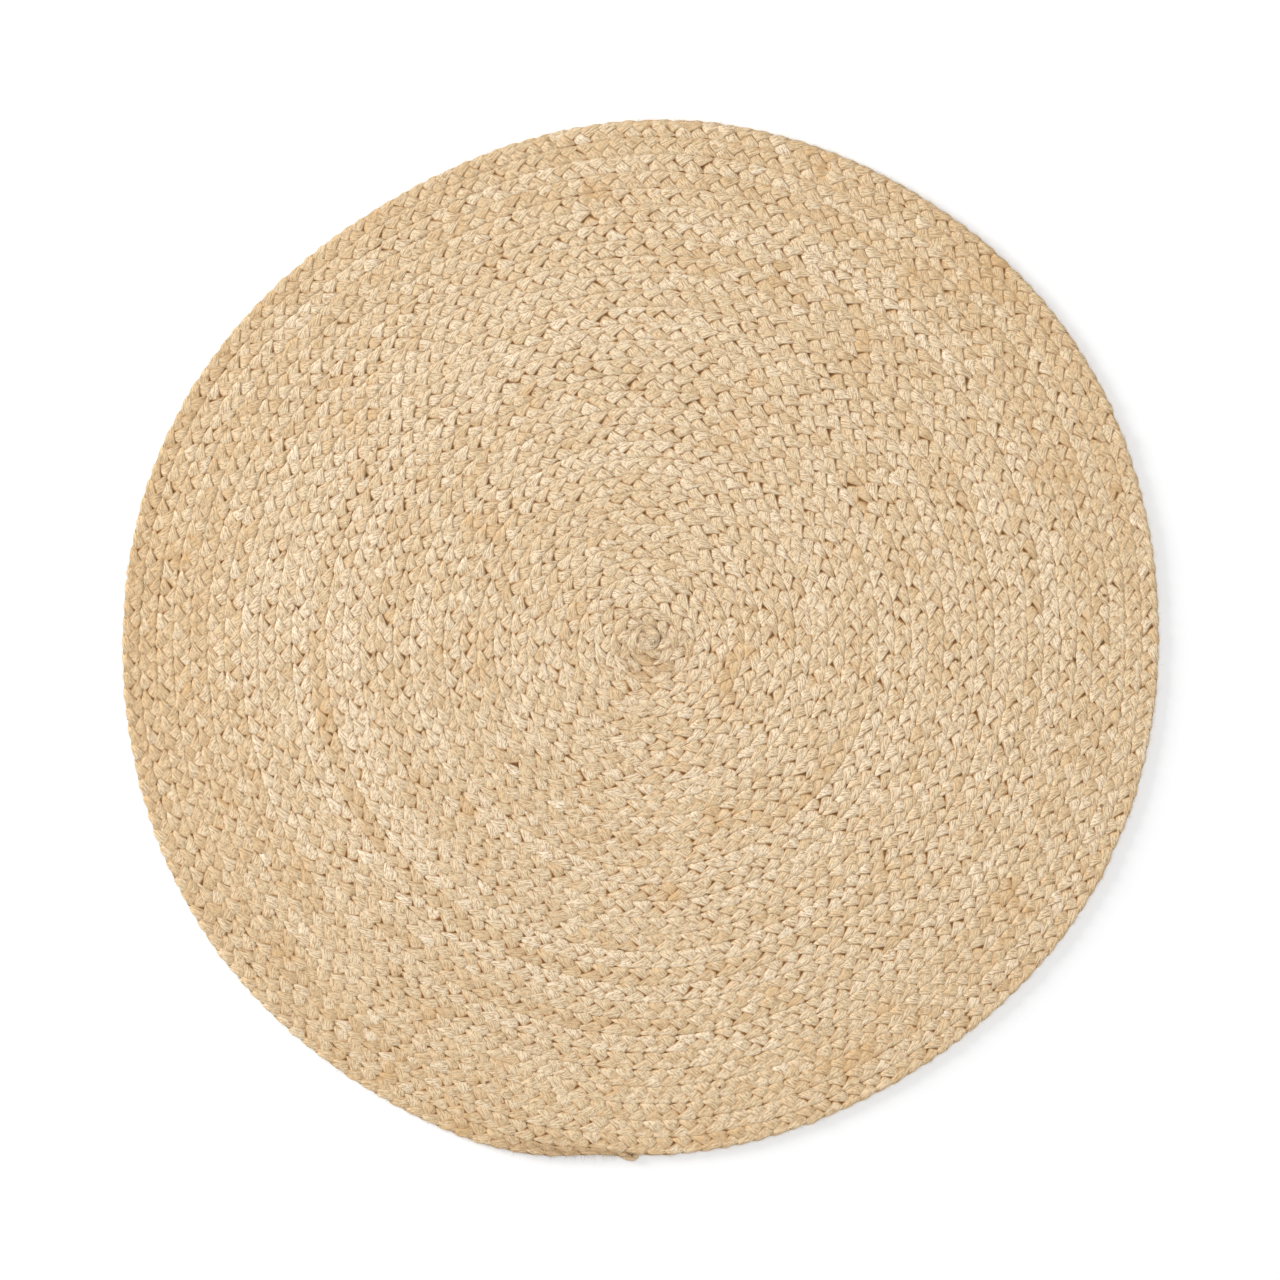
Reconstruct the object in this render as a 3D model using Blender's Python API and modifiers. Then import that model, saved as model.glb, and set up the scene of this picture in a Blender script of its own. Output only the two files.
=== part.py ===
# Round area rug of plaited jute, lying flat.
# One flat three-strand braid is wound outward from the centre and its turns are sewn edge to edge.
# The braid is made of two lengths, spliced near the rim. The strands are soft, so each one is
# a plain flat band here, a third of the braid's width, with its true place and length.
import math

import bmesh
import bpy

# Overall size, in metres. The rim is measured from the middle of the spiral.
RIM_RADIUS = 0.6013
THICKNESS = 0.0095
TURNS = 31
STRANDS = 3

# Fits
GAP = 0.0003
THREAD_WIDTH = 0.0009
THREAD_DEPTH = 0.0040

# Where the braid starts, is spliced and ends, in turns from the middle
SPLICE_AT = 25.25
SPLICE_LENGTH = 0.012
THREAD_START = 1
END_ANGLE = math.radians(268)
TAIL_NARROWING = 0.35
TAIL_STITCH_LENGTH = 0.005
CENTRE_HOLE = 0.0018
CENTRE_STITCH_SIDES = 12

# The bands have straight sides, with fewer of them in the small turns at the middle.
SIDES_PER_TURN = 24
SMALL_TURNS = 4

# The rim isn't a true circle. Each wave is how many times it goes round, its height and
# the direction where it stands out most. Waves fade towards the middle.
RIM_WAVES = (
    (1, 0.0022, 189),
    (2, 0.0059, 45),
    (3, 0.0023, 58),
    (4, 0.0019, 76),
    (6, 0.0023, 32),
)
WAVE_FADE = 3

ROW_PITCH = RIM_RADIUS / TURNS
STRAND_WIDTH = (ROW_PITCH - THREAD_WIDTH - (STRANDS + 1) * GAP) / STRANDS
FIRST_STRAND = THREAD_WIDTH + GAP

JUTE_COLOURS = ((0.72, 0.54, 0.34), (0.76, 0.59, 0.39), (0.69, 0.50, 0.30))
THREAD_COLOUR = (0.55, 0.38, 0.21)


def clear_scene():
    for thing in list(bpy.data.objects):
        bpy.data.objects.remove(thing, do_unlink=True)


def strand_offset(number):
    # Distance of a strand's inner side from the inner side of its row
    return FIRST_STRAND + number * (STRAND_WIDTH + GAP)


def station_step(turn):
    few = turn < SMALL_TURNS - 1e-9
    return (2 if few else 1) / SIDES_PER_TURN


def rim_wave(angle):
    return sum(
        height * math.cos(count * (angle - math.radians(peak)))
        for count, height, peak in RIM_WAVES
    )


def spiral_point(turn, offset):
    # The point on a row at this turn, a distance out from the row's inner side
    radius = ROW_PITCH * (turn - 0.5) + offset
    angle = math.tau * (turn - TURNS) + END_ANGLE
    radius += rim_wave(angle) * (radius / RIM_RADIUS) ** WAVE_FADE
    return radius * math.cos(angle), radius * math.sin(angle)


def point_at(turn, offset):
    # Between two stations the side of a band is straight, so neighbours keep their gap.
    step = station_step(turn)
    before = math.floor(turn / step + 1e-9) * step
    share = (turn - before) / step
    x0, y0 = spiral_point(before, offset)
    if share < 1e-9:
        return x0, y0
    x1, y1 = spiral_point(before + step, offset)
    return x0 + share * (x1 - x0), y0 + share * (y1 - y0)


def stations(start, end):
    places = [start]
    turn = start
    while turn < end - 1e-9:
        step = station_step(turn)
        turn = (math.floor(turn / step + 1e-9) + 1) * step
        places.append(min(turn, end))
    return places


def first_station(offset):
    # The first station where a strand stays clear of the hole at the middle
    step = station_step(0)
    turn = (CENTRE_HOLE - offset) / ROW_PITCH + 0.5
    return math.ceil(turn / step) * step


def turns_along(distance, turn):
    return distance / (math.tau * ROW_PITCH * turn)


def band(places, inner, outer):
    # A flat strip as two rows of points. inner and outer give an offset at a turn.
    return [(point_at(t, inner(t)), point_at(t, outer(t))) for t in places]


def tail_share(turn):
    # Full width up to the last station, then narrowing to the end
    last = TURNS - station_step(TURNS)
    along = min(1, max(0, (turn - last) / (TURNS - last)))
    return 1 - (1 - TAIL_NARROWING) * along


def strand_band(number, start, end):
    def inner(turn):
        return FIRST_STRAND + number * (STRAND_WIDTH * tail_share(turn) + GAP)

    def outer(turn):
        return inner(turn) + STRAND_WIDTH * tail_share(turn)

    return band(stations(start, end), inner, outer)


def plain_band(start, end, inner, outer):
    return band(stations(start, end), lambda turn: inner, lambda turn: outer)


def material_for(name, colour):
    material = bpy.data.materials.new(name)
    material.use_nodes = True
    shader = material.node_tree.nodes["Principled BSDF"]
    shader.inputs["Base Color"].default_value = (*colour, 1)
    shader.inputs["Roughness"].default_value = 0.9
    return material


def put_in(collection, name, mesh, colour):
    thing = bpy.data.objects.new(name, mesh)
    mesh.materials.append(material_for(name, colour))
    collection.objects.link(thing)
    return thing


def add_strip(collection, name, strip, middle, colour, low=0, depth=THICKNESS):
    mesh = bpy.data.meshes.new(name)
    shape = bmesh.new()
    rows = []
    for pair in strip:
        rows.append([shape.verts.new((x - middle[0], y - middle[1], low)) for x, y in pair])
    for (a, b), (c, d) in zip(rows, rows[1:]):
        shape.faces.new((a, b, d, c))
    shape.normal_update()
    shape.to_mesh(mesh)
    shape.free()
    thing = put_in(collection, name, mesh, colour)
    thicken = thing.modifiers.new("depth", "SOLIDIFY")
    thicken.thickness = depth
    thicken.offset = 1
    return thing


def add_centre_stitch(collection, middle):
    mesh = bpy.data.meshes.new("centre_stitch")
    shape = bmesh.new()
    radius = CENTRE_HOLE - GAP
    bmesh.ops.create_cone(
        shape,
        cap_ends=True,
        segments=CENTRE_STITCH_SIDES,
        radius1=radius,
        radius2=radius,
        depth=THICKNESS,
    )
    for vertex in shape.verts:
        vertex.co.x -= middle[0]
        vertex.co.y -= middle[1]
        vertex.co.z += THICKNESS / 2
    shape.to_mesh(mesh)
    shape.free()
    return put_in(collection, "centre_stitch", mesh, THREAD_COLOUR)


def middle_of(strips):
    # The rug stands with the middle of its bounding box at the origin.
    points = [point for strip in strips for pair in strip for point in pair]
    xs = [x for x, y in points]
    ys = [y for x, y in points]
    return (min(xs) + max(xs)) / 2, (min(ys) + max(ys)) / 2


def build():
    clear_scene()
    collection = bpy.data.collections.new("braided_jute_rug")
    bpy.context.scene.collection.children.link(collection)

    half = turns_along(SPLICE_LENGTH / 2, SPLICE_AT)
    clearance = turns_along(GAP, SPLICE_AT)
    row_end = ROW_PITCH - GAP
    strips = {}
    for number in range(STRANDS):
        first = first_station(strand_offset(number))
        strips[f"inner_braid_strand_{number + 1}"] = strand_band(
            number, first, SPLICE_AT - half - clearance
        )
        strips[f"outer_braid_strand_{number + 1}"] = strand_band(
            number, SPLICE_AT + half + clearance, TURNS
        )
    strips["splice_binding"] = plain_band(
        SPLICE_AT - half, SPLICE_AT + half, FIRST_STRAND, row_end
    )
    after = TURNS + turns_along(GAP, TURNS)
    tail_width = STRANDS * (STRAND_WIDTH * TAIL_NARROWING + GAP) - GAP
    strips["tail_stitch"] = plain_band(
        after,
        after + turns_along(TAIL_STITCH_LENGTH, TURNS),
        FIRST_STRAND,
        FIRST_STRAND + tail_width,
    )
    thread = plain_band(THREAD_START, TURNS, 0, THREAD_WIDTH)

    middle = middle_of(strips.values())
    for index, (name, strip) in enumerate(strips.items()):
        of_jute = "strand" in name
        colour = JUTE_COLOURS[index // 2 % STRANDS] if of_jute else THREAD_COLOUR
        add_strip(collection, name, strip, middle, colour)
    add_strip(
        collection,
        "seam_thread",
        thread,
        middle,
        THREAD_COLOUR,
        low=(THICKNESS - THREAD_DEPTH) / 2,
        depth=THREAD_DEPTH,
    )
    add_centre_stitch(collection, middle)


build()
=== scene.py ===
import math

import bpy
import numpy as np
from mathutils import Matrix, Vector


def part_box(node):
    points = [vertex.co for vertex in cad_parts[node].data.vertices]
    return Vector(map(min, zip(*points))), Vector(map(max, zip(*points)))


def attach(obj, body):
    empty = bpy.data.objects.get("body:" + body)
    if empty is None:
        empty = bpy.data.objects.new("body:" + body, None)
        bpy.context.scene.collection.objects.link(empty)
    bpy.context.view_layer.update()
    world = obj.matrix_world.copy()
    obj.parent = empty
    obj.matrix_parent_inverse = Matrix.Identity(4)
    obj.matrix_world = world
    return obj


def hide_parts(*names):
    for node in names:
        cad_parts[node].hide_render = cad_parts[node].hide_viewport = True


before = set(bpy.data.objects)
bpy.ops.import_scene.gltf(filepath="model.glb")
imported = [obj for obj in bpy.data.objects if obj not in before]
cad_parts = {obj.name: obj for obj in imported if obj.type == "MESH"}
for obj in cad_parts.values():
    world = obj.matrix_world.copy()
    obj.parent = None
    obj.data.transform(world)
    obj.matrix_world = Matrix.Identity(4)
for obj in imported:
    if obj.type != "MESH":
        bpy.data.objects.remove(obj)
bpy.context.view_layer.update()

print("frame loaded")

rug = {
    "rimRadius": 0.6013,  # metres, from the middle of the spiral
    "thickness": 0.0095,
    "clearance": 0.0002,  # nothing is nearer the floor than this
    "turns": 31,
    "endAngle": math.radians(268),
    "spliceTurn": 25.25,
    "rimWaves": ((1, 0.0022, 189), (2, 0.0059, 45), (3, 0.0023, 58), (4, 0.0019, 76), (6, 0.0023, 32)),
    "waveFade": 3,
    "dentDepth": 0.0058,  # the last rows are drawn in beside the tail
    "dentAngle": math.radians(264.5),
    "dentSharpness": 800,  # higher makes it shorter
    "dentReach": 12,  # higher keeps it nearer the rim
    "seed": 11,
}

plait = {
    "sideways": 0.0086,  # how far a strand swings from the braid's middle
    "rise": 0.0025,  # how far it swings up and down
    "foldSteepness": 3.5,  # how sharply it goes from under to over at the edge
    "crossingSteepness": 1.6,  # and from over to under in the middle
    "diveDelay": math.radians(4),  # how late past the middle it goes under
    "ribbonWidth": 0.0151,
    "ribbonThickness": 0.0045,
    "slant": math.radians(34),
    "edgeFill": 1.03,  # share of a lobe's length that the fold covers
    "rimNotch": 0.14,  # how much less of it on the last turn
    "rimScallop": 0.0030,  # how far the ends of each outer lobe draw in there
    "rimFade": 0.02,  # turns over which both come in
    "widthByLobe": 0.7,  # how much wider a strand is where its lobes are short
    "flatness": 6.0,
    "ringsPerPeriod": 20,
    "pointsPerRing": 16,
    "edgeSharpness": 9,
    "foldCrowding": 0.5,  # draws the rings together at the folds and crossings
    "lobeAtMiddle": 0.0226,  # metres of braid for each lobe, longest in the first few turns
    "lobeOnFirstLength": 0.0215,
    "lobeOnSecondLength": 0.0201,
    "openTurns": 7,
    "spliceFade": 0.2,  # turns
    "lobeWander": ((0.035, 45), (0.03, 600)),  # how much the lobes vary, and over how many steps
    "toneWander": 700,
    "steps": 60000,  # along the whole braid, for its phase
    "firstTurn": 0.12,
    "curledTurn": 0.5,  # the braid is drawn in up to here
    "widthJitter": 0.07,
    "thicknessJitter": 0.08,
    "heightJitter": 0.00025,
    "sideJitter": 0.0003,
    "alongJitter": 0.0009,
    "ridgeHeight": 0.00022,
    "twist": 0.19,  # how far a fibre moves across its strand for each metre along it
    "tailTurns": 0.045,
    "tailWidth": 0.24,
    "tailSink": 0.12,  # how much flatter it would be at no width at all
    "shadeAtFold": 0.3,  # strength of the painted shade, brown lines along a strand's edges
    "shadeAtCrossing": 0.8,  # and how much stronger they are in the braid's middle
    "shadeJitter": 0.4,
    "openSide": (0.004, 0.003),  # metres outward where the rim's open side begins, and its fade
    "leastDip": 0.1,
}

rowPitch = rug["rimRadius"] / rug["turns"]
stitchLow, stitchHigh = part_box("centre_stitch")
spiralMiddle = (stitchLow + stitchHigh) / 2


def turnAt(run):
    # turns from the middle, for a distance along the braid
    return np.sqrt(np.maximum(run, 1e-9) / (math.pi * rowPitch))


def runAt(turn):
    return math.pi * rowPitch * turn * turn


def rugPoint(run, out, up):
    # a place on the rug from the distance along the braid, outward across it and up from the floor
    turn = turnAt(run)
    angle = math.tau * (turn - rug["turns"]) + rug["endAngle"]
    radius = rowPitch * turn + out
    wave = sum(h * np.cos(n * (angle - math.radians(peak))) for n, h, peak in rug["rimWaves"])
    reach = np.maximum(radius / rug["rimRadius"], 0)
    dent = rug["dentDepth"] * ((1 + np.cos(angle - rug["dentAngle"])) / 2) ** rug["dentSharpness"]
    radius = radius + wave * reach ** rug["waveFade"] - dent * reach ** rug["dentReach"]
    x = spiralMiddle[0] + radius * np.cos(angle)
    y = spiralMiddle[1] + radius * np.sin(angle)
    return np.stack(np.broadcast_arrays(x, y, up), -1)


def rowShape(turn):
    # the braid's share of full width, and how far its middle is moved outward
    tailStart = rug["turns"] - plait["tailTurns"]
    along = np.clip((turn - tailStart) / plait["tailTurns"], 0, 1)
    share = 1 - (1 - plait["tailWidth"]) * along
    shift = -(1 - share) * rowPitch / 2
    early = np.clip(plait["curledTurn"] - turn, 0, plait["curledTurn"])
    return share * (1 - early), shift + early * rowPitch / 2


def smoothNoise(count, spacing, random):
    # a wandering line of mean 0, with a new value every few steps
    knots = random.normal(size=count // spacing + 3)
    return np.interp(np.arange(count) / spacing, np.arange(len(knots)), knots)


def braidPhase():
    # the plait's phase along the braid, a full turn for each three lobes, and its slow changes of tone
    random = np.random.default_rng(rug["seed"])
    run = np.linspace(runAt(plait["firstTurn"]), runAt(rug["turns"]), plait["steps"])
    splice = rug["spliceTurn"]
    usual = plait["lobeOnFirstLength"]
    lobe = np.interp(
        turnAt(run),
        (0, plait["openTurns"], splice, splice + plait["spliceFade"]),
        (plait["lobeAtMiddle"], usual, usual, plait["lobeOnSecondLength"]),
    )
    wander = sum(size * smoothNoise(len(run), spacing, random) for size, spacing in plait["lobeWander"])
    lobe = lobe * (1 + wander)
    step = np.gradient(run) * math.tau / (3 * lobe)
    return run, np.cumsum(step), smoothNoise(len(run), plait["toneWander"], random)


braidRun, phaseOfRun, toneOfRun = braidPhase()


def perLobe(phase, random, spread):
    # one random value for each quarter of a period, passed over smoothly
    place = (phase - phase[0]) / (math.pi / 2)
    values = random.normal(scale=spread, size=int(place[-1]) + 3)
    before = np.floor(place).astype(int)
    share = place - before
    share = share * share * (3 - 2 * share)
    return values[before] * (1 - share) + values[before + 1] * share


def meshFromTubes(name, places):
    # closed tubes from rings of points: places is tubes x rings x points x 3
    tubes, rings, count = places.shape[:3]
    tube, ring, point = np.meshgrid(np.arange(tubes), np.arange(rings - 1), np.arange(count), indexing="ij")
    here = (tube * rings + ring) * count
    beside = (point + 1) % count
    quads = np.stack([here + point, here + beside, here + count + beside, here + count + point], -1)
    begin = np.arange(tubes)[:, None] * rings * count
    nearEnd = begin + np.arange(count)[::-1]
    farEnd = begin + (rings - 1) * count + np.arange(count)
    corners = np.concatenate([quads.ravel(), nearEnd.ravel(), farEnd.ravel()])
    totals = np.concatenate([np.full(quads[..., 0].size, 4), np.full(2 * tubes, count)])
    starts = np.append(0, np.cumsum(totals)[:-1])
    mesh = bpy.data.meshes.new(name)
    mesh.vertices.add(tubes * rings * count)
    mesh.vertices.foreach_set("co", places.astype(np.float32).ravel())
    mesh.loops.add(len(corners))
    mesh.loops.foreach_set("vertex_index", corners.astype(np.int32))
    mesh.polygons.add(len(starts))
    mesh.polygons.foreach_set("loop_start", starts.astype(np.int32))
    mesh.polygons.foreach_set("loop_total", totals.astype(np.int32))
    mesh.update(calc_edges=True)
    mesh.polygons.foreach_set("use_smooth", np.ones(len(starts), bool))
    return mesh


def ringsAround(line, radius, sides, squash=1.0):
    # rings of points round one line or many, lying flatter where squash is under 1
    heading = np.gradient(line, axis=-2)
    heading /= np.linalg.norm(heading, axis=-1, keepdims=True)
    side = np.cross(np.broadcast_to((0.0, 0.0, 1.0), line.shape), heading)
    side /= np.linalg.norm(side, axis=-1, keepdims=True) + 1e-9
    top = np.cross(heading, side) * squash
    angle = np.arange(sides) / sides * math.tau
    turned = side[..., None, :] * np.cos(angle)[:, None] + top[..., None, :] * np.sin(angle)[:, None]
    return line[..., None, :] + radius[..., None, None] * turned


def setMap(mesh, name, first, second):
    # a map for the sides of the tubes, whose ends are drawn to a point
    flat = np.stack([first.ravel(), second.ravel()], -1)
    flat = np.concatenate([flat, np.repeat(flat[-1:], len(mesh.loops) - len(flat), 0)])
    mesh.uv_layers.new(name=name).data.foreach_set("uv", flat.astype(np.float32).ravel())


rowFill = 0.92  # share of each row of a map that is used, so that rows don't run into each other


def addMaps(mesh, length, around, rowsOfMap=1, twist=0):
    # strandRun holds metres along and around the strand, and OFBake lays it out in rows
    rings = len(length)
    count = len(around) - 1
    ring, point = np.meshgrid(np.arange(rings - 1), np.arange(count), indexing="ij")
    along = np.stack([length[ring], length[ring], length[ring + 1], length[ring + 1]], -1)
    across = np.stack([around[point], around[point + 1], around[point + 1], around[point]], -1)
    across = across - twist * along
    perRow = math.ceil((rings - 1) / rowsOfMap)
    row = ring // perRow
    inRow = (ring - row * perRow) / perRow
    u = np.stack([inRow, inRow, inRow + 1 / perRow, inRow + 1 / perRow], -1)
    v = np.stack([point, point + 1, point + 1, point], -1) / count
    v = (row[..., None] + (1 - rowFill) / 2 + rowFill * v) / rowsOfMap
    setMap(mesh, "strandRun", along, across)
    setMap(mesh, "OFBake", u, v)


def addNumber(mesh, name, values):
    made = mesh.attributes.new(name, "FLOAT", "POINT")
    made.data.foreach_set("value", values.astype(np.float32).ravel())


def lineLength(line):
    return np.append(0, np.cumsum(np.linalg.norm(np.diff(line, axis=0), axis=1)))


def showMesh(name, mesh):
    made = bpy.data.objects.new(name, mesh)
    bpy.context.scene.collection.objects.link(made)
    return made


def ribbonProfile():
    # the outline of a strand cut across, as shares of half its width and half its thickness
    angle = np.arange(plait["pointsPerRing"]) / plait["pointsPerRing"] * math.tau
    wide = np.cos(angle)
    thick = np.sign(np.sin(angle)) * np.abs(np.sin(angle)) ** (2 / plait["flatness"])
    return wide, thick


def profileLengths():
    # metres round a strand to each point of its outline, and back to the first
    wide, thick = ribbonProfile()
    x = np.append(wide, wide[0]) * plait["ribbonWidth"] / 2
    y = np.append(thick, thick[0]) * plait["ribbonThickness"] / 2
    return np.append(0, np.cumsum(np.hypot(np.diff(x), np.diff(y))))


def ridges(rings, random):
    # grooves between the bundles of fibres, which change slowly along a strand
    every = plait["ringsPerPeriod"] // 3
    knots = random.normal(scale=plait["ridgeHeight"], size=(rings // every + 3, plait["pointsPerRing"]))
    place = np.arange(rings) / every
    before = np.floor(place).astype(int)
    share = (place - before)[:, None]
    return knots[before] * (1 - share) + knots[before + 1] * share


def strandPhase(lag, startRun, endRun):
    # the phase of each ring of a strand, and where it is along the braid
    firstPhase, lastPhase = np.interp([startRun, endRun], braidRun, phaseOfRun) + lag
    rings = int((lastPhase - firstPhase) / math.tau * plait["ringsPerPeriod"])
    even = np.linspace(firstPhase, lastPhase, rings)
    phase = even - plait["foldCrowding"] * np.sin(4 * even) / 4
    return phase, np.interp(phase - lag, phaseOfRun, braidRun)


toneShares = {
    "lobe": 0.55,
    "strand": 0.5,
    "braid": 0.45,
    "outerRows": 0.8,  # the outer rows are more golden
    "outerFrom": 21,
    "outerFull": 29,
    "tail": 1.2,  # and the tail more than any
    "tailFrom": 0.07,  # turns before the end
    "tailFade": 0.04,
}


def strandTone(phase, run, random):
    # below 0 is paler and above 0 more golden
    slow = smoothNoise(len(run), plait["ringsPerPeriod"] * 5, random)
    shared = np.interp(run, braidRun, toneOfRun)
    turn = turnAt(run)
    outer = (turn - toneShares["outerFrom"]) / (toneShares["outerFull"] - toneShares["outerFrom"])
    tail = (turn - rug["turns"] + toneShares["tailFrom"]) / toneShares["tailFade"]
    golden = toneShares["outerRows"] * np.clip(outer, 0, 1) + toneShares["tail"] * np.clip(tail, 0, 1)
    tone = toneShares["lobe"] * perLobe(phase, random, 1.0)
    return tone + toneShares["strand"] * slow + toneShares["braid"] * shared + golden


def makeStrand(name, number, startRun, endRun, rowsOfMap):
    random = np.random.default_rng(rug["seed"] * 100 + number + 10 * name.startswith("outer"))
    phase, run = strandPhase(math.tau * number / 3, startRun, endRun)
    turn = turnAt(run)
    runPerPhase = np.gradient(run) / np.gradient(phase)
    lobe = runPerPhase * math.tau / 3

    wide = 1 + perLobe(phase, random, plait["widthJitter"])
    thick = 1 + perLobe(phase, random, plait["thicknessJitter"])
    lift = perLobe(phase, random, plait["heightJitter"])
    side = perLobe(phase, random, plait["sideJitter"])
    ahead = perLobe(phase, random, plait["alongJitter"])
    tone = strandTone(phase, run, random)

    # the strand's own line, over and under the other two
    across = plait["sideways"] * np.cos(phase) + side
    middle = np.sin(phase) ** 2
    steep = plait["foldSteepness"] * (1 - middle) + plait["crossingSteepness"] * middle
    up = plait["rise"] * np.tanh(steep * np.sin(2 * phase - 2 * plait["diveDelay"] * middle)) / np.tanh(steep)
    climb = np.gradient(up) / np.gradient(phase)
    up = up + lift

    # the flat ribbon across that line, which folds over at the braid's edges
    width = plait["ribbonWidth"] * wide * (plait["lobeOnFirstLength"] / lobe) ** plait["widthByLobe"]
    atRim = np.clip(turn - rug["turns"] + 1, 0, plait["rimFade"]) / plait["rimFade"]
    fill = plait["edgeFill"] * (1 - plait["rimNotch"] * atRim)
    ribbonAlong = lobe * fill * (1 - middle) + middle * width * math.sin(plait["slant"])
    ribbonSide = width * math.cos(plait["slant"]) * np.sin(phase)
    ribbon = np.stack([ribbonAlong, ribbonSide, np.zeros_like(run)], -1)
    heading = np.stack([runPerPhase, -plait["sideways"] * np.sin(phase), climb], -1)
    facing = np.cross(ribbon, heading)
    facing /= np.linalg.norm(facing, axis=1, keepdims=True)

    profileWide, profileThick = ribbonProfile()
    depth = profileThick[None, :] / 2 * (plait["ribbonThickness"] * thick)[:, None]
    depth = depth + ridges(len(run), random) * np.sign(profileThick)[None, :]
    offset = ribbon[:, None] * profileWide[None, :, None] / 2 + facing[:, None] * depth[..., None]

    share, shift = rowShape(turn)
    out = (across[:, None] + offset[..., 1]) * share[:, None] + shift[:, None]
    flatter = 1 - plait["tailSink"] * (1 - share[:, None])
    high = rug["thickness"] / 2 + (up[:, None] + offset[..., 2]) * flatter
    high = np.clip(high, rug["clearance"], None)
    outerFold = (atRim * np.clip(np.cos(phase), 0, 1) ** 2)[:, None]
    out = out - plait["rimScallop"] * outerFold * profileWide[None, :] ** 2
    places = rugPoint(run[:, None] + ahead[:, None] + offset[..., 0], out, high)

    mesh = meshFromTubes(name, places[None])
    addMaps(mesh, lineLength(places.mean(1)), profileLengths(), rowsOfMap, plait["twist"])
    addNumber(mesh, "tone", np.repeat(tone[:, None], plait["pointsPerRing"], 1))
    # painted shade: brown lines along a strand's long edges, where it meets the strands beside and under it,
    # stronger in the braid's middle
    strength = plait["shadeAtFold"] + plait["shadeAtCrossing"] * middle
    strength = strength * (1 + perLobe(phase, random, plait["shadeJitter"]))
    edge = np.abs(profileWide) ** plait["edgeSharpness"] * strength[:, None]
    addNumber(mesh, "edge", np.clip(edge, 0, 1))
    # the painted shade lines between lobes fade on the open side of the rim and in the first tight turn
    openFrom, openFade = plait["openSide"]
    dip = 1 - atRim[:, None] * np.clip((out - openFrom) / openFade, 0, 1)
    addNumber(mesh, "dip", dip * np.clip(turn - plait["curledTurn"], plait["leastDip"], 1)[:, None])
    return showMesh(name, mesh)


# Colours and fibres

fibre = {
    "light": (0.91, 0.775, 0.59, 1),
    "gold": (0.88, 0.70, 0.465, 1),
    "dark": (0.56, 0.385, 0.21, 1),
    # deep is the dark brown of dark fibres, knots and threads, and of the painted shade in holes and along
    # strand edges
    "deep": (0.24, 0.10, 0.022, 1),
    "warm": (0.79, 0.51, 0.255, 1),
    "perMetre": 1900.0,
    "stretch": 0.22,  # lower makes the fibres longer
    "wanderScale": 90,
    "wander": 0.0016,  # metres that a fibre strays sideways
    "mediumShare": 0.36,  # of the fibres per metre
    "broadShare": 0.13,
    "mix": (0.40, 0.46, 0.14),  # shares of fine, medium and broad fibres
    "stainScale": 13,
    "stain": 0.68,
    "warmLobes": 0.62,
    "darkFibres": 0.35,
    "besideShade": 0.75,  # painted warm shade where a strand begins to dip
    "line": 0.92,  # painted shade, brown where it is under the next and along its edges, and the dark colour of knots and threads
    "edgeShadeAndDark": 1.15,  # painted shade, brown along its own edges, and the own dark colour of knots and threads
    "toneShade": 0.035,  # how much darker a golden lobe is
    "roughness": (0.86, 0.18),  # of the dark fibres, and how much smoother the pale ones are
}

# where each effect begins and where it is full
fibreRamps = {
    "pale": (0.415, 0.555),
    "golden": (-0.4, 2.8),
    "warm": (2.5, 5.2),
    "stain": (0.57, 0.72),
    "darkFibre": (0.24, 0.34),
    # beside and under are heights where painted shade begins as a strand dips under the next
    "beside": (0.66, 0.84),
    "under": (0.57, 0.77),
}


def newNode(tree, kind, place=(0, 0), **settings):
    node = tree.nodes.new(kind)
    node.location = place
    for key, value in settings.items():
        setattr(node, key, value)
    return node


def mixColours(tree, share, first, second):
    mix = newNode(tree, "ShaderNodeMix", data_type="RGBA")
    for socket, value in ((mix.inputs[0], share), (mix.inputs[6], first), (mix.inputs[7], second)):
        if hasattr(value, "is_output"):
            tree.links.new(value, socket)
        else:
            socket.default_value = value
    return mix.outputs[2]


def mathNode(tree, operation, first, second=0.0, third=0.0, clamp=False):
    node = newNode(tree, "ShaderNodeMath", operation=operation, use_clamp=clamp)
    for socket, value in zip(node.inputs, (first, second, third)):
        if hasattr(value, "is_output"):
            tree.links.new(value, socket)
        else:
            socket.default_value = value
    return node.outputs[0]


def ramp(tree, value, effect):
    low, high = fibreRamps[effect]
    node = newNode(tree, "ShaderNodeMapRange", interpolation_type="SMOOTHSTEP")
    tree.links.new(value, node.inputs["Value"])
    node.inputs["From Min"].default_value = low
    node.inputs["From Max"].default_value = high
    return node.outputs["Result"]


def oneMinus(tree, value):
    return mathNode(tree, "SUBTRACT", 1.0, value)


def addSockets(group):
    for name in ("Light", "Gold", "Dark", "Deep", "Warm"):
        socket = group.interface.new_socket(name, in_out="INPUT", socket_type="NodeSocketColor")
        socket.default_value = fibre[name.lower()]
    numbers = {"Fibres per Metre": fibre["perMetre"], "Stretch": fibre["stretch"]}
    numbers.update({"Tone": 0.0, "Edge": 0.0, "Dip": 0.0, "Run Offset": 0.0})
    for name, value in numbers.items():
        socket = group.interface.new_socket(name, in_out="INPUT", socket_type="NodeSocketFloat")
        socket.default_value = value
    group.interface.new_socket("Color", in_out="OUTPUT", socket_type="NodeSocketColor")
    group.interface.new_socket("Height", in_out="OUTPUT", socket_type="NodeSocketFloat")
    group.interface.new_socket("Roughness", in_out="OUTPUT", socket_type="NodeSocketFloat")


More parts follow.
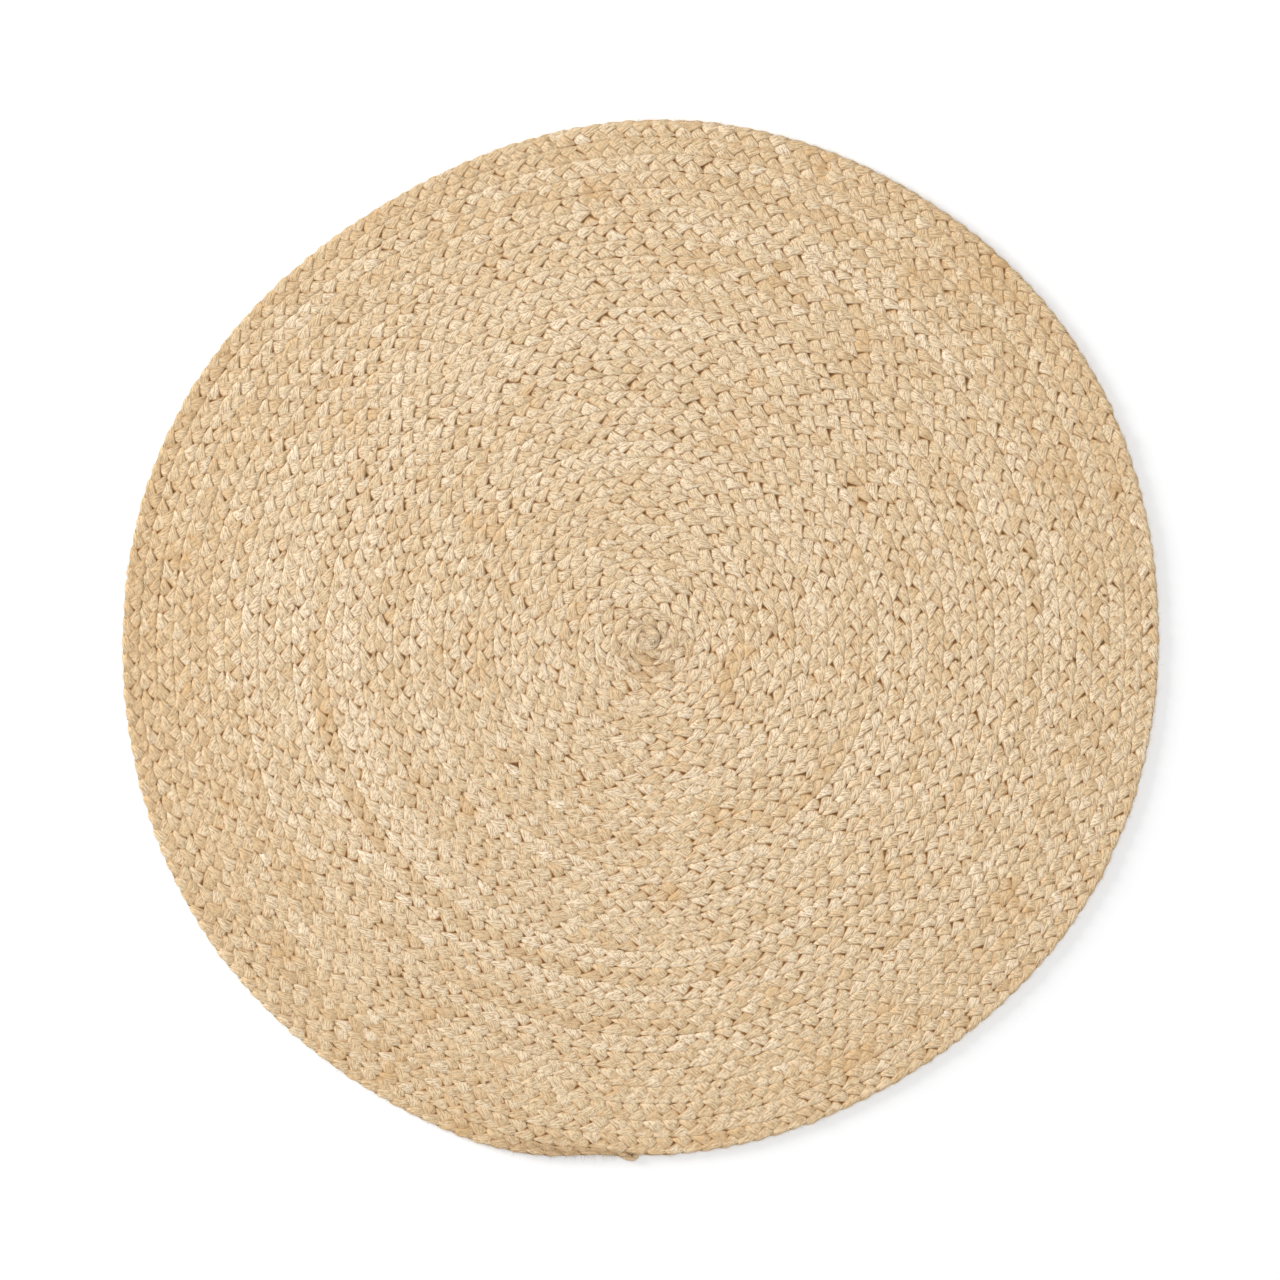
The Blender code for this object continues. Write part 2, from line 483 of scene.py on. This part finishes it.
def streaks(group, given, run, drift, share):
    # fibres along the strand, coarser where the share is lower
    density = mathNode(group, "MULTIPLY", given["Fibres per Metre"], share)
    along = mathNode(group, "MULTIPLY", mathNode(group, "MULTIPLY", run, density), given["Stretch"])
    joined = newNode(group, "ShaderNodeCombineXYZ")
    group.links.new(along, joined.inputs[0])
    group.links.new(mathNode(group, "MULTIPLY", drift, density), joined.inputs[1])
    noise = newNode(group, "ShaderNodeTexNoise", noise_dimensions="2D")
    noise.inputs["Scale"].default_value = 1
    noise.inputs["Detail"].default_value = 1
    noise.inputs["Roughness"].default_value = 0.6
    group.links.new(joined.outputs[0], noise.inputs["Vector"])
    return noise.outputs[0]


def stains(group, position):
    # patches that run across several rows
    noise = newNode(group, "ShaderNodeTexNoise", noise_dimensions="3D")
    noise.inputs["Scale"].default_value = fibre["stainScale"]
    noise.inputs["Detail"].default_value = 3
    noise.inputs["Roughness"].default_value = 0.65
    group.links.new(position, noise.inputs["Vector"])
    return mathNode(group, "MULTIPLY", ramp(group, noise.outputs[0], "stain"), fibre["stain"])


def heightLevel(group, position):
    # 0 in the middle of the rug's thickness and 1 at its top and underside
    split = newNode(group, "ShaderNodeSeparateXYZ")
    group.links.new(position, split.inputs[0])
    fromMiddle = mathNode(group, "SUBTRACT", split.outputs["Z"], rug["thickness"] / 2)
    return mathNode(group, "DIVIDE", mathNode(group, "ABSOLUTE", fromMiddle), rug["thickness"] / 2)


def makeFibreGroup():
    # jute fibres that run along a strand, with the tone of each lobe, and brown lines of painted shade
    # between lobes
    group = bpy.data.node_groups.new("juteFibres", "ShaderNodeTree")
    addSockets(group)
    given = newNode(group, "NodeGroupInput").outputs
    result = newNode(group, "NodeGroupOutput").inputs

    place = newNode(group, "ShaderNodeUVMap", uv_map="strandRun").outputs["UV"]
    split = newNode(group, "ShaderNodeSeparateXYZ")
    group.links.new(place, split.inputs[0])
    wander = newNode(group, "ShaderNodeTexNoise", noise_dimensions="2D")
    wander.inputs["Scale"].default_value = fibre["wanderScale"]
    wander.inputs["Detail"].default_value = 1
    group.links.new(place, wander.inputs["Vector"])
    drift = mathNode(group, "MULTIPLY_ADD", wander.outputs[0], fibre["wander"], split.outputs["Y"])
    run = mathNode(group, "ADD", split.outputs["X"], given["Run Offset"])

    fine = streaks(group, given, run, drift, 1.0)
    medium = streaks(group, given, run, drift, fibre["mediumShare"])
    broad = streaks(group, given, run, drift, fibre["broadShare"])
    fineShare, mediumShare, broadShare = fibre["mix"]
    mixed = mathNode(group, "MULTIPLY", medium, mediumShare)
    mixed = mathNode(group, "ADD", mathNode(group, "MULTIPLY", fine, fineShare), mixed)
    mixed = mathNode(group, "MULTIPLY_ADD", broad, broadShare, mixed)
    pale = ramp(group, mixed, "pale")
    golden = ramp(group, mathNode(group, "MULTIPLY_ADD", medium, 2.4, given["Tone"]), "golden")
    colour = mixColours(group, golden, given["Light"], given["Gold"])

    # some lobes are a warmer tan, and a few patches are stained
    position = newNode(group, "ShaderNodeTexCoord").outputs["Object"]
    stained = stains(group, position)
    warm = ramp(group, mathNode(group, "MULTIPLY_ADD", broad, 5.0, given["Tone"]), "warm")
    warm = mathNode(group, "MULTIPLY_ADD", warm, fibre["warmLobes"], stained, clamp=True)
    colour = mixColours(group, warm, colour, given["Warm"])
    colour = mixColours(group, pale, given["Dark"], colour)
    brighten = newNode(group, "ShaderNodeVectorMath", operation="SCALE")
    group.links.new(colour, brighten.inputs[0])
    shade = mathNode(group, "MULTIPLY_ADD", given["Tone"], -fibre["toneShade"], 1.0)
    group.links.new(shade, brighten.inputs["Scale"])
    dark = mathNode(group, "MULTIPLY", oneMinus(group, ramp(group, medium, "darkFibre")), fibre["darkFibres"])
    colour = mixColours(group, dark, brighten.outputs[0], given["Deep"])

    # painted shade: a warm tint where a strand begins to dip, and brown lines where one strand dips under the
    # next, darkest in the holes between them; the Edge input adds painted shade along strand edges and the
    # own dark colour of knots and threads
    level = heightLevel(group, position)
    beside = mathNode(group, "MULTIPLY", oneMinus(group, ramp(group, level, "beside")), given["Dip"])
    beside = mathNode(group, "MULTIPLY", beside, fibre["besideShade"])
    colour = mixColours(group, beside, colour, given["Warm"])
    under = mathNode(group, "MULTIPLY", oneMinus(group, ramp(group, level, "under")), given["Dip"])
    shadeAndDark = mathNode(group, "MAXIMUM", under, mathNode(group, "MULTIPLY", given["Edge"], fibre["edgeShadeAndDark"]))
    colour = mixColours(group, mathNode(group, "MULTIPLY", shadeAndDark, fibre["line"]), colour, given["Deep"])
    group.links.new(colour, result["Color"])
    group.links.new(mixed, result["Height"])
    roughest, smoother = fibre["roughness"]
    group.links.new(mathNode(group, "MULTIPLY_ADD", pale, -smoother, roughest), result["Roughness"])
    return group


fibreGroup = makeFibreGroup()

strandFinishes = {
    "jute_strand_a": {"offset": 0.0, "light": (0.91, 0.775, 0.59, 1)},
    "jute_strand_b": {"offset": 61.0, "light": (0.92, 0.79, 0.61, 1)},
    "jute_strand_c": {"offset": 127.0, "light": (0.90, 0.76, 0.57, 1)},
    "jute_bundle": {"offset": 173.0, "light": (0.90, 0.765, 0.58, 1)},
    "jute_thread": {"offset": 201.0, "light": (0.88, 0.735, 0.545, 1)},
}

surface = {
    "bump": 0.8,
    "bumpDepth": 0.0017,
    "specular": 0.25,
    "sheen": 0.05,
    "sheenRoughness": 0.45,
    "sheenTint": (1.0, 0.93, 0.80, 1),
}


def makeStrandMaterial(name, finish):
    material = bpy.data.materials.new(name)
    material.use_nodes = True
    tree = material.node_tree
    shader = tree.nodes["Principled BSDF"]
    fibres = newNode(tree, "ShaderNodeGroup", (-500, 0), node_tree=fibreGroup)
    fibres.inputs["Light"].default_value = finish["light"]
    fibres.inputs["Run Offset"].default_value = finish["offset"]
    for socketName, attribute in (("Tone", "tone"), ("Edge", "edge"), ("Dip", "dip")):
        read = newNode(tree, "ShaderNodeAttribute", (-800, 0), attribute_name=attribute)
        tree.links.new(read.outputs["Fac"], fibres.inputs[socketName])
    bump = newNode(tree, "ShaderNodeBump", (-250, -300))
    bump.inputs["Strength"].default_value = surface["bump"]
    bump.inputs["Distance"].default_value = surface["bumpDepth"]
    tree.links.new(fibres.outputs["Height"], bump.inputs["Height"])
    tree.links.new(fibres.outputs["Color"], shader.inputs["Base Color"])
    tree.links.new(fibres.outputs["Roughness"], shader.inputs["Roughness"])
    tree.links.new(bump.outputs["Normal"], shader.inputs["Normal"])
    shader.inputs["Specular IOR Level"].default_value = surface["specular"]
    shader.inputs["Sheen Weight"].default_value = surface["sheen"]
    shader.inputs["Sheen Roughness"].default_value = surface["sheenRoughness"]
    shader.inputs["Sheen Tint"].default_value = surface["sheenTint"]
    return material


strandMaterials = {name: makeStrandMaterial(name, finish) for name, finish in strandFinishes.items()}
print("materials made")

spliceRun = runAt(rug["spliceTurn"])

# where each length of braid starts and ends, in metres along it, and the rows of its map
braidEnds = {
    "inner": (runAt(0.30), spliceRun - 0.003, 38),
    "outer": (spliceRun + 0.018, runAt(rug["turns"]) - 0.002, 26),
}
for part, (startRun, endRun, rowsOfMap) in braidEnds.items():
    for number, slotName in enumerate(("jute_strand_a", "jute_strand_b", "jute_strand_c")):
        strand = makeStrand(f"{part}_strand_{number + 1}", number, startRun, endRun, rowsOfMap)
        strand.data.materials.append(strandMaterials[slotName])
        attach(strand, "root")
        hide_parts(f"{part}_braid_strand_{number + 1}")
    print(part, "length plaited")

# Thread and splice

seam = {
    "stitch": 0.0107,
    "reach": 0.0022,  # how far each stitch goes into the rows beside it
    "dip": 0.0030,
    "radius": 0.00045,
    "ringsPerStitch": 6,
    "sides": 4,
    "tailClear": 0.02,  # metres before the end of the braid
    "wander": 0.5,
    "mapRows": 40,
}

spliceWrap = {
    "start": -0.007,  # metres along the braid from the splice's middle
    "end": 0.023,
    "width": 0.0190,
    "thickness": 0.0104,
    "rings": 90,
    "sides": 28,
    "squareness": 3.4,
    "bindings": ((-0.0052, 2.2), (0.0215, 4.5)),  # where each binding is, and its number of turns
    "threadSpacing": 0.00105,
    "threadRadius": 0.00055,
    "threadSides": 6,
    "endFullness": 0.70,  # slimmer at its ends
    "closeFrom": 0.93,  # where its ends begin to round off
    "roughness": 0.00016,
    "swell": 0.00018,  # height of its slow waves, and the spacing of them
    "swellSpacing": 0.0062,
    "girth": 0.046,
}

centreKnot = {
    "reach": 0.0062,
    "radius": 0.0007,
    "points": 220,
    "sides": 6,
    "padLength": 0.0270,  # the tucked-in start of the braid, a rounded pad
    "padRadius": 0.0112,
    "padSquash": 0.42,
    "padRings": 40,
    "padSides": 40,
    "padRoughness": 0.00022,
    "padLift": 0.0006,  # above the middle of the rug's thickness
    "padTwist": 0.6,
}

tailCurl = {
    "line": (  # metres along the braid from its end, and outward from its middle
        (-0.020, -0.0070),
        (-0.012, -0.0056),
        (-0.004, -0.0034),
        (0.003, -0.0034),
        (0.0075, -0.0068),
        (0.0045, -0.0112),
    ),
    "radii": (0.0020, 0.0028, 0.0036, 0.0035, 0.0030, 0.0016),
    "height": 0.0046,
    "points": 60,
    "smoothing": 9,
    "sides": 12,
    "stitchStart": -0.009,
    "stitchTurns": 3,
    "stitchSpacing": 0.0012,
    "stitchMiddle": -0.0066,
    "stitchReach": (0.0036, 0.0038),  # sideways and up
    "stitchRadius": 0.0005,
    "stitchSides": 6,
}


def placed(name, mesh, slotName, *nodes, finish="jute_thread"):
    piece = showMesh(name, mesh)
    mesh.materials.append(strandMaterials[finish])
    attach(piece, "root")
    if nodes:
        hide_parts(*nodes)


def makeTube(name, line, radius, sides, tone=0.0, edge=0.0, rowsOfMap=1, squash=1.0, twist=0, lumps=0):
    rings = ringsAround(line, radius, sides, squash)
    outward = rings - line[:, None]
    rings = rings + lumps * outward / np.linalg.norm(outward, axis=-1, keepdims=True)
    rings[..., 2] = np.maximum(rings[..., 2], rug["clearance"])
    mesh = meshFromTubes(name, rings[None])
    around = np.arange(sides + 1) / sides * math.tau * radius.mean()
    addMaps(mesh, lineLength(line), around, rowsOfMap, twist)
    addNumber(mesh, "tone", np.full(len(mesh.vertices), tone))
    addNumber(mesh, "edge", np.full(len(mesh.vertices), edge))
    return mesh


def wrapPoint(run, angle, grow):
    # a place on the rounded outside of the splice, which is full in the middle and slimmer at its ends
    share = np.clip((run - spliceWrap["start"]) / (spliceWrap["end"] - spliceWrap["start"]), 0, 1)
    ends = spliceWrap["endFullness"]
    full = ends + (1 - ends) * np.sin(math.pi * share) ** 0.6
    power = 2 / spliceWrap["squareness"]
    wide = np.sign(np.cos(angle)) * np.abs(np.cos(angle)) ** power
    high = np.sign(np.sin(angle)) * np.abs(np.sin(angle)) ** power
    out = wide * (spliceWrap["width"] / 2 * full + grow)
    up = rug["thickness"] / 2 + high * (spliceWrap["thickness"] / 2 * full + grow)
    return out, np.maximum(up, rug["clearance"])


def makeSeamThread():
    random = np.random.default_rng(rug["seed"] + 1)
    end = runAt(rug["turns"]) - seam["tailClear"]
    run = np.arange(runAt(1.0), end, seam["stitch"] / seam["ringsPerStitch"])
    angle = math.tau * run / seam["stitch"] + seam["wander"] * smoothNoise(len(run), 20, random)
    out = -rowPitch / 2 + seam["reach"] * np.cos(angle)
    up = rug["thickness"] / 2 + seam["dip"] * np.sin(angle)
    radius = np.full(len(run), seam["radius"])
    line = rugPoint(run, out, up)
    name = "seam_thread_lacing"
    mesh = makeTube(name, line, radius, seam["sides"], tone=0.6, edge=0.25, rowsOfMap=seam["mapRows"])
    placed(name, mesh, "jute_thread", "seam_thread")


def makeSplice():
    random = np.random.default_rng(rug["seed"] + 2)
    count = spliceWrap["rings"]
    sides = spliceWrap["sides"]
    run = np.linspace(spliceWrap["start"] - 0.001, spliceWrap["end"] + 0.001, count)
    angle = np.arange(sides) / sides * math.tau
    grow = spliceWrap["roughness"] * random.normal(size=sides)[None, :] + np.zeros((count, 1))
    swelling = np.sin(run / spliceWrap["swellSpacing"] + 1)
    grow = grow + spliceWrap["swell"] * swelling[:, None] * np.sin(2 * angle)[None, :]
    fromMiddle = np.abs(np.linspace(-1, 1, count))
    rounding = np.clip(fromMiddle - spliceWrap["closeFrom"], 0, 1) / (1 - spliceWrap["closeFrom"])
    closing = 1 - 0.9 * rounding[:, None]
    out, up = wrapPoint(run[:, None], -angle[None, :], grow)
    out = out * closing
    up = rug["thickness"] / 2 + (up - rug["thickness"] / 2) * closing
    places = rugPoint(spliceRun + run[:, None] + 0 * out, out, up)
    mesh = meshFromTubes("splice_wrap", places[None])
    addMaps(mesh, run - run[0], np.arange(sides + 1) / sides * spliceWrap["girth"], 1, 0.1)
    addNumber(mesh, "tone", np.full(len(mesh.vertices), 0.2))
    # painted shade darkens the splice towards its rounded ends, where it tucks into the braid
    addNumber(mesh, "edge", np.repeat(0.35 * fromMiddle[:, None] ** 10, sides, 1))
    placed("splice_wrap", mesh, "jute_strand_b", "splice_binding", finish="jute_bundle")
    for number, (middle, turns) in enumerate(spliceWrap["bindings"]):
        makeBinding(number, middle, turns, random)


def makeBinding(number, middle, turns, random):
    # thread wound round the splice a few times
    steps = int(36 * turns)
    angle = np.linspace(0, math.tau * turns, steps)
    run = middle + (angle / math.tau - turns / 2) * spliceWrap["threadSpacing"]
    run = run + 0.0003 * smoothNoise(steps, 7, random)
    out, up = wrapPoint(run, angle, 0.0001 + 0.00015 * smoothNoise(steps, 5, random))
    line = rugPoint(spliceRun + run, out, np.maximum(up, spliceWrap["threadRadius"]))
    radius = np.full(steps, spliceWrap["threadRadius"])
    mesh = makeTube("binding", line, radius, spliceWrap["threadSides"], tone=3.2, edge=0.3)
    placed(f"splice_binding_{number + 1}", mesh, "jute_thread", "splice_binding")


def makeCentreKnot():
    # loose loops of thread over the tucked-in start of the braid
    t = np.linspace(0, math.tau, centreKnot["points"], endpoint=False)
    x = spiralMiddle[0] + centreKnot["reach"] * np.sin(3 * t + 0.5)
    y = spiralMiddle[1] + 0.8 * centreKnot["reach"] * np.sin(4 * t)
    z = rug["thickness"] - 0.0012 + 0.0010 * np.sin(7 * t + 1)
    line = np.stack([x, y, z], -1)
    radius = np.full(len(t), centreKnot["radius"])
    mesh = makeTube("centre_knot", line, radius, centreKnot["sides"], tone=-0.5, edge=0.1)
    placed("centre_knot", mesh, "jute_thread", "centre_stitch")


def makeCentrePad():
    random = np.random.default_rng(rug["seed"] + 4)
    sides = centreKnot["padSides"]
    along = np.linspace(-0.995, 0.995, centreKnot["padRings"])
    radius = centreKnot["padRadius"] * (1 - along**2) ** 0.35
    x = spiralMiddle[0] + 0.8 * along * centreKnot["padLength"] / 2
    y = spiralMiddle[1] + 0.6 * along * centreKnot["padLength"] / 2
    line = np.stack([x, y, np.full(len(x), rug["thickness"] / 2 + centreKnot["padLift"])], -1)
    lumps = random.normal(scale=centreKnot["padRoughness"], size=(len(line), sides, 1))
    flattened = {"squash": centreKnot["padSquash"], "twist": centreKnot["padTwist"], "lumps": lumps}
    mesh = makeTube("pad", line, radius, sides, tone=-0.6, **flattened)
    placed("centre_pad", mesh, "jute_strand_b", "centre_stitch", finish="jute_bundle")


def makeTailCurl():
    random = np.random.default_rng(rug["seed"] + 3)
    keys = np.array(tailCurl["line"])
    place = np.linspace(0, len(keys) - 1, tailCurl["points"])
    smooth = np.ones(tailCurl["smoothing"]) / tailCurl["smoothing"]

    def smoothed(values):
        line = np.interp(place, np.arange(len(keys)), values)
        return np.convolve(np.pad(line, len(smooth) // 2, mode="edge"), smooth, mode="valid")

    run, out, radius = smoothed(keys[:, 0]), smoothed(keys[:, 1]), smoothed(tailCurl["radii"])
    up = np.full(len(run), tailCurl["height"]) + 0.0002 * smoothNoise(len(run), 6, random)
    line = rugPoint(runAt(rug["turns"]) + run, out, up)
    mesh = makeTube("tail_curl", line, radius, tailCurl["sides"], tone=1.2, edge=0.05, twist=1.2)
    placed("tail_curl", mesh, "jute_strand_c", "tail_stitch", finish="jute_bundle")


def makeTailThread():
    angle = np.linspace(0, math.tau * tailCurl["stitchTurns"], 100)
    run = tailCurl["stitchStart"] + tailCurl["stitchSpacing"] * angle / math.tau
    sideways, upward = tailCurl["stitchReach"]
    out = tailCurl["stitchMiddle"] + sideways * np.cos(angle)
    line = rugPoint(runAt(rug["turns"]) + run, out, tailCurl["height"] + upward * np.sin(angle))
    radius = np.full(len(angle), tailCurl["stitchRadius"])
    mesh = makeTube("tail_thread", line, radius, tailCurl["stitchSides"], tone=1.0, edge=0.2)
    placed("tail_thread", mesh, "jute_thread", "tail_stitch")


makeSeamThread()
makeSplice()
makeCentreKnot()
makeCentrePad()
makeTailCurl()
makeTailThread()
print("thread and splice made")

# Loose fibres

hairs = {
    "rings": 7,
    "sides": 3,
    "thickness": (0.00007, 0.00013),
    "curl": 70,
    "lift": (0.0003, 0.0024),
    "centreTurns": 2.3,
    "rimRise": 0.0015,
}

# lengths in metres, the spread of directions, the mean and spread of tone, and the darkest edge
hairKinds = {
    "onTop": dict(count=2600, length=(0.004, 0.014), swing=0.8, tone=(0, 0.8), edge=0.25, thick=1),
    "atSeams": dict(count=2400, length=(0.003, 0.008), swing=0.9, tone=(1.8, 1), edge=0.3, thick=1.3),
    "atRim": dict(count=1500, length=(0.002, 0.007), swing=0.9, tone=(0, 0.8), edge=0, thick=1),
    "atCentre": dict(count=420, length=(0.004, 0.010), swing=0.9, tone=(-0.4, 1.2), edge=0.06, thick=2.4),
    "atTail": dict(count=260, length=(0.004, 0.012), swing=0.7, tone=(1.6, 1), edge=0.2, thick=1.6),
}

# brown knots and darker bits, as x, y, size
brownBits = (
    (0.5382, 0.0521, 1.0),
    (0.3667, -0.0232, 0.8),
    (0.4802, -0.0996, 0.8),
    (0.5347, -0.1912, 0.7),
    (-0.1778, -0.5121, 0.8),
    (0.0921, -0.5179, 0.7),
    (0.5011, -0.0209, 0.7),
    (0.4970, -0.0070, 0.6),
    (-0.3100, 0.2200, 0.5),
    (-0.0600, 0.4300, 0.5),
)

knot = {
    "fibres": 9,
    "spread": 0.0011,
    "length": (0.0025, 0.0055),
    "curl": 120,
    "radius": 0.0006,
    "lift": 0.0006,
}


def bend(start, heading, length, curl, lift, rise):
    # lines that start at the given places and curl away sideways while they rise or arch
    along = np.linspace(0, 1, hairs["rings"])
    turning = heading[:, None] + curl[:, None] * (along[None, :] * length[:, None])
    step = length[:, None] / (hairs["rings"] - 1)
    x = start[:, :1] + np.cumsum(np.cos(turning) * step, 1) - np.cos(turning[:, :1]) * step
    y = start[:, 1:2] + np.cumsum(np.sin(turning) * step, 1) - np.sin(turning[:, :1]) * step
    arch = lift[:, None] * (4 * along * (1 - along))[None, :]
    z = start[:, 2:3] + arch + rise[:, None] * along[None, :]
    return np.stack([x, y, np.maximum(z, 2 * rug["clearance"])], -1)


def curled(kind, turn, out, up, heading, length, rise, tone, edge, random):
    # the lines of one kind of fibre, with their radii, tones and edges
    count = len(turn)
    start = rugPoint(runAt(turn), out, up)
    angle = math.tau * (turn - rug["turns"]) + rug["endAngle"] + heading
    lift = random.uniform(*hairs["lift"], count)
    curl = random.normal(scale=hairs["curl"], size=count)
    radius = random.uniform(*hairs["thickness"], count) * kind["thick"]
    return bend(start, angle, length, curl, lift, rise), radius, tone, edge


def hairsOnTop(kind, random):
    count = kind["count"]
    turn = rug["turns"] * np.sqrt(random.uniform(0.002, 0.998, count))
    out = random.uniform(-0.5, 0.5, count) * rowPitch
    heading = math.pi / 2 + random.normal(0, kind["swing"], count)
    tone = random.normal(*kind["tone"], count)
    up = np.full(count, rug["thickness"] - 0.0005)
    length = random.uniform(*kind["length"], count)
    edge = random.uniform(0, kind["edge"], count)
    return curled(kind, turn, out, up, heading, length, np.zeros(count), tone, edge, random)


def hairsAtSeams(kind, random):
    count = kind["count"]
    turn = rug["turns"] * np.sqrt(random.uniform(0.002, 0.99, count))
    out = rowPitch * (0.5 + random.normal(0, 0.06, count))
    heading = math.pi / 2 + random.normal(0, kind["swing"], count)
    up = np.full(count, rug["thickness"] - 0.0012)
    length = random.uniform(*kind["length"], count)
    tone = random.normal(*kind["tone"], count)
    edge = random.uniform(0, kind["edge"], count)
    return curled(kind, turn, out, up, heading, length, np.zeros(count), tone, edge, random)


def hairsAtRim(kind, random):
    count = kind["count"]
    turn = rug["turns"] - random.uniform(0, 1, count)
    share, shift = rowShape(turn)
    out = shift + share * rowPitch * random.uniform(0.40, 0.49, count)
    heading = random.normal(0, kind["swing"], count)
    up = random.uniform(0.0015, 0.0085, count)
    length = random.uniform(*kind["length"], count)
    rise = random.normal(0, hairs["rimRise"], count)
    tone = random.normal(*kind["tone"], count)
    return curled(kind, turn, out, up, heading, length, rise, tone, np.zeros(count), random)


def hairsAtCentre(kind, random):
    count = kind["count"]
    turn = hairs["centreTurns"] * np.sqrt(random.uniform(0.01, 1, count))
    out = random.uniform(-0.5, 0.5, count) * rowPitch
    heading = math.pi / 2 + random.normal(0, kind["swing"], count)
    up = rug["thickness"] + 0.0008 * np.clip(1.2 - turn, 0, 1) - random.uniform(0.0002, 0.0010, count)
    length = random.uniform(*kind["length"], count)
    tone = random.normal(*kind["tone"], count)
    edge = random.uniform(0, kind["edge"], count)
    return curled(kind, turn, out, up, heading, length, np.zeros(count), tone, edge, random)


def hairsAtTail(kind, random):
    count = kind["count"]
    turn = rug["turns"] - random.uniform(0, plait["tailTurns"], count)
    share, shift = rowShape(turn)
    out = shift + share * rowPitch * random.uniform(-0.5, 0.5, count)
    heading = math.pi / 2 + random.normal(0, kind["swing"], count)
    up = rug["thickness"] - random.uniform(0.0002, 0.0016, count)
    length = random.uniform(*kind["length"], count)
    tone = random.normal(*kind["tone"], count)
    edge = random.uniform(0, kind["edge"], count)
    return curled(kind, turn, out, up, heading, length, np.zeros(count), tone, edge, random)


def brownKnot(x, y, size, random):
    # a few thick dark fibres in a tangle
    count = knot["fibres"]
    start = np.zeros((count, 3))
    start[:, 0] = x + random.normal(0, knot["spread"] * size, count)
    start[:, 1] = y + random.normal(0, knot["spread"] * size, count)
    start[:, 2] = rug["thickness"] - 0.0006
    heading = random.uniform(0, math.pi) + random.normal(0, 0.5, count)
    length = random.uniform(*knot["length"], count) * size
    curl = random.normal(0, knot["curl"], count)
    lines = bend(start, heading, length, curl, np.full(count, knot["lift"]), np.zeros(count))
    edge = random.uniform(1.0, 1.35, count)
    return lines, np.full(count, knot["radius"] * size), np.full(count, 2.0), edge


def makeHairs():
    random = np.random.default_rng(rug["seed"] + 5)
    groups = [
        hairsOnTop(hairKinds["onTop"], random),
        hairsAtSeams(hairKinds["atSeams"], random),
        hairsAtRim(hairKinds["atRim"], random),
        hairsAtCentre(hairKinds["atCentre"], random),
        hairsAtTail(hairKinds["atTail"], random),
    ]
    groups += [brownKnot(x, y, size, random) for x, y, size in brownBits]
    lines, radius, tone, edge = (np.concatenate(values) for values in zip(*groups))
    taper = 1 - 0.75 * np.linspace(0, 1, hairs["rings"]) ** 2
    places = ringsAround(lines, radius[:, None] * taper, hairs["sides"])
    mesh = meshFromTubes("loose_fibres", places)
    perHair = hairs["rings"] * hairs["sides"]
    addNumber(mesh, "tone", np.repeat(tone, perHair))
    addNumber(mesh, "edge", np.repeat(edge, perHair))
    mapHairs(mesh, len(lines))
    placed("loose_fibres", mesh, "jute_thread")


def mapHairs(mesh, count):
    # each fibre has a cell of its own in a square of cells
    cells = math.ceil(math.sqrt(count))
    steps = hairs["rings"] - 1
    numbers = (np.arange(size) for size in (count, steps, hairs["sides"]))
    hair, ring, point = np.meshgrid(*numbers, indexing="ij")
    along = np.stack([ring, ring, ring + 1, ring + 1], -1) / steps
    across = np.stack([point, point + 1, point + 1, point], -1) / hairs["sides"]
    u = (hair[..., None] % cells + 0.08 + 0.84 * along) / cells
    v = (hair[..., None] // cells + 0.08 + 0.84 * across) / cells
    setMap(mesh, "strandRun", hair[..., None] * 0.05 + along * 0.008, across * 0.0006)
    setMap(mesh, "OFBake", u, v)


makeHairs()
print("loose fibres made")

# Floor, light and camera

studio = {
    "pictureWidth": 1.483,  # metres across the picture at the rug
    "cameraHeight": 5.0,
    "aim": (-0.0006, 0.0012),
    "sensor": 36,
    "floor": (0.94, 0.94, 0.94, 1),
    "floorReach": 6,
    "sky": (0.98, 0.99, 1.0, 1),
    "skyStrength": 0.455,
}

lights = {
    "key": {"place": (-6.5, 2.6, 2.4), "size": 3.2, "power": 459, "colour": (1.0, 0.985, 0.96)},
    "overhead": {"place": (0, 0, 7), "size": 4, "power": 240, "colour": (1, 1, 1)},
}

floorMesh = bpy.data.meshes.new("floor")
reach = studio["floorReach"]
corners = [(-reach, -reach, 0), (reach, -reach, 0), (reach, reach, 0), (-reach, reach, 0)]
floorMesh.from_pydata(corners, [], [(0, 1, 2, 3)])
floor = bpy.data.objects.new("floor", floorMesh)
bpy.context.scene.collection.objects.link(floor)
floorMaterial = bpy.data.materials.new("paleFloor")
floorMaterial.use_nodes = True
floorShader = floorMaterial.node_tree.nodes["Principled BSDF"]
floorShader.inputs["Base Color"].default_value = studio["floor"]
floorShader.inputs["Roughness"].default_value = 1
floorMesh.materials.append(floorMaterial)

world = bpy.data.worlds.new("studio")
world.use_nodes = True
sky = world.node_tree.nodes["Background"]
sky.inputs["Color"].default_value = studio["sky"]
sky.inputs["Strength"].default_value = studio["skyStrength"]
bpy.context.scene.world = world


def addLight(name, place, size, power, colour):
    light = bpy.data.lights.new(name, "AREA")
    light.size = size
    light.energy = power
    light.color = colour
    lamp = bpy.data.objects.new(name, light)
    lamp.location = place
    lamp.rotation_mode = "QUATERNION"
    lamp.rotation_quaternion = (-Vector(place)).to_track_quat("-Z", "Y")
    bpy.context.scene.collection.objects.link(lamp)


for name, settings in lights.items():
    addLight(name, **settings)

cameraData = bpy.data.cameras.new("camera")
cameraData.sensor_width = studio["sensor"]
cameraData.lens = studio["sensor"] * (studio["cameraHeight"] - rug["thickness"]) / studio["pictureWidth"]
cameraData.clip_end = 50
camera = bpy.data.objects.new("camera", cameraData)
camera.location = (*studio["aim"], studio["cameraHeight"])
bpy.context.scene.collection.objects.link(camera)
bpy.context.scene.camera = camera
bpy.context.scene.view_settings.view_transform = "Standard"

print("scene ready")
